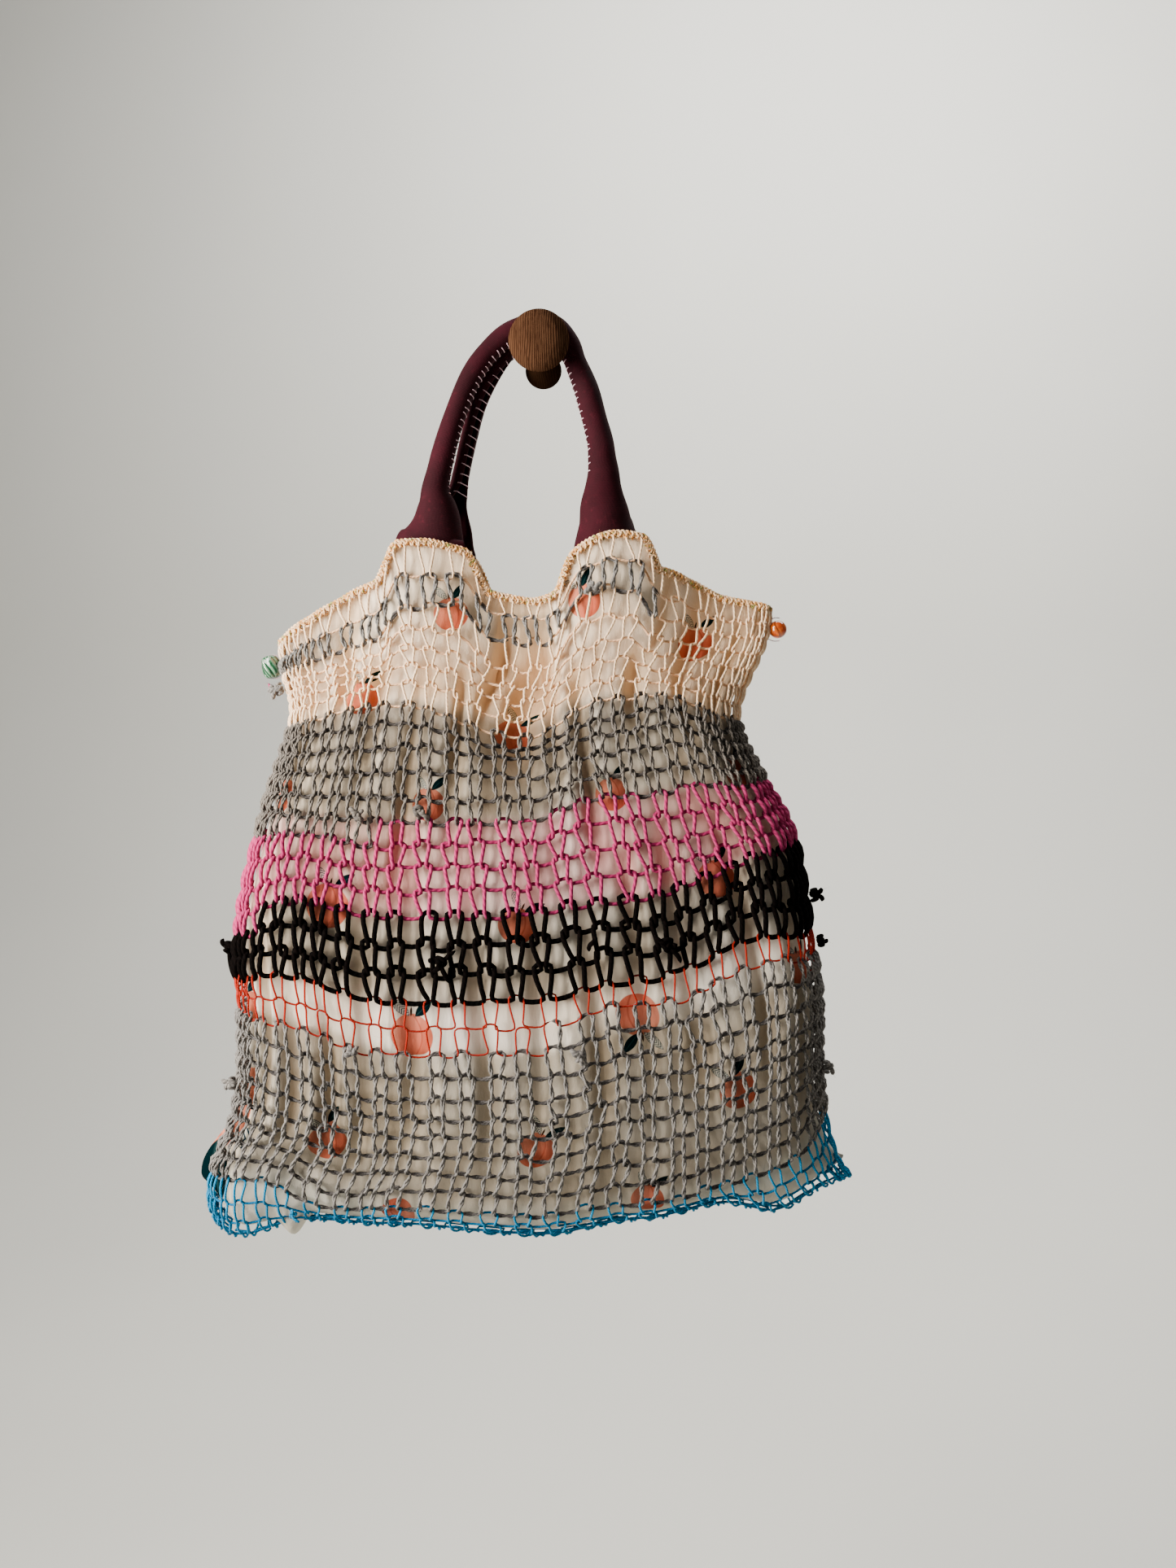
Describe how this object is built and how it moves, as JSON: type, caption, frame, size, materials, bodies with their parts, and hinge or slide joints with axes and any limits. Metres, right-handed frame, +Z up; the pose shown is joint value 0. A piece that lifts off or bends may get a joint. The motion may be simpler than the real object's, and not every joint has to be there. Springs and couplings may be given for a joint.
{
  "type": "knitted tote bag on wall peg",
  "caption": "Loose-knit striped tote bag with cotton lining and rolled cloth handles, hanging from a turned wooden wall peg.",
  "frame": {"origin": "on the peg's axis, where the peg meets the wall", "axes": "+Y into the wall, along the peg's axis; +Z up, the way the bag hangs; +X to the right of someone who faces the wall"},
  "size_m": [0.5099, 0.0815, 0.72],
  "materials": {
    "walnut": "oiled, fine straight grain",
    "lining_cotton": "plain woven cotton with a scattered fruit print",
    "knit_yarn": "matt hand-knitted yarn in bands of cream, grey, pink, black, red and blue",
    "edging_yarn": "variegated crocheted cotton",
    "handle_cloth": "smooth dense burgundy cloth",
    "green_glass": "fluted glass",
    "amber_glass": "faceted glass"
  },
  "bodies": {
    "root": {"peg": "walnut", "lining_front": "lining_cotton", "lining_back": "lining_cotton", "knit_front": "knit_yarn", "knit_back": "knit_yarn", "top_edging": "edging_yarn", "handle_front": "handle_cloth", "handle_back": "handle_cloth", "bead_green": "green_glass", "bead_amber": "amber_glass"}
  },
  "joints": []
}
